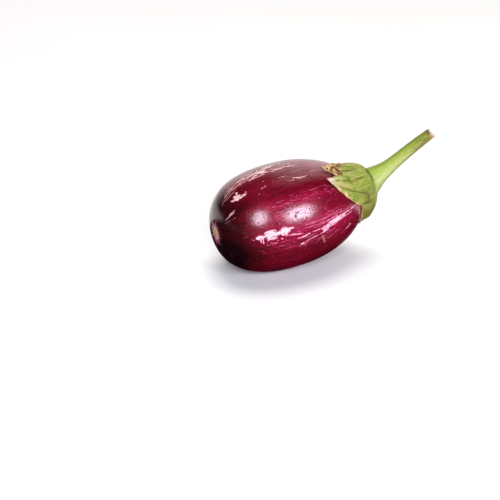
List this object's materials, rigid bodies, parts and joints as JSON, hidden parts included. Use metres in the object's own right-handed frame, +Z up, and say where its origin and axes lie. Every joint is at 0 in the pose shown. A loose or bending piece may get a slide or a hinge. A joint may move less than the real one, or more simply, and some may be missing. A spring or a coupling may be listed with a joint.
{
  "type": "eggplant",
  "caption": "Whole small egg-shaped eggplant with streaked purple and white skin, a lobed green calyx and a cut green stalk, lying on its side.",
  "frame": {"origin": "centre of the small flat spot that the fruit rests on", "axes": "+Z up, +X from the blossom end to the stalk, -Y the side with the broad lobe of the calyx"},
  "size_m": [0.1291, 0.0581, 0.0665],
  "materials": {
    "skin": "smooth waxy fruit skin, crimson purple with pinkish white streaks along its length",
    "calyx_green": "matte leathery green sepals with tan dry edges",
    "stem_green": "satin yellow green stalk, ribbed, with a cream cut end"
  },
  "bodies": {
    "root": {"fruit": "skin", "calyx": "calyx_green", "stem": "stem_green"}
  },
  "joints": []
}
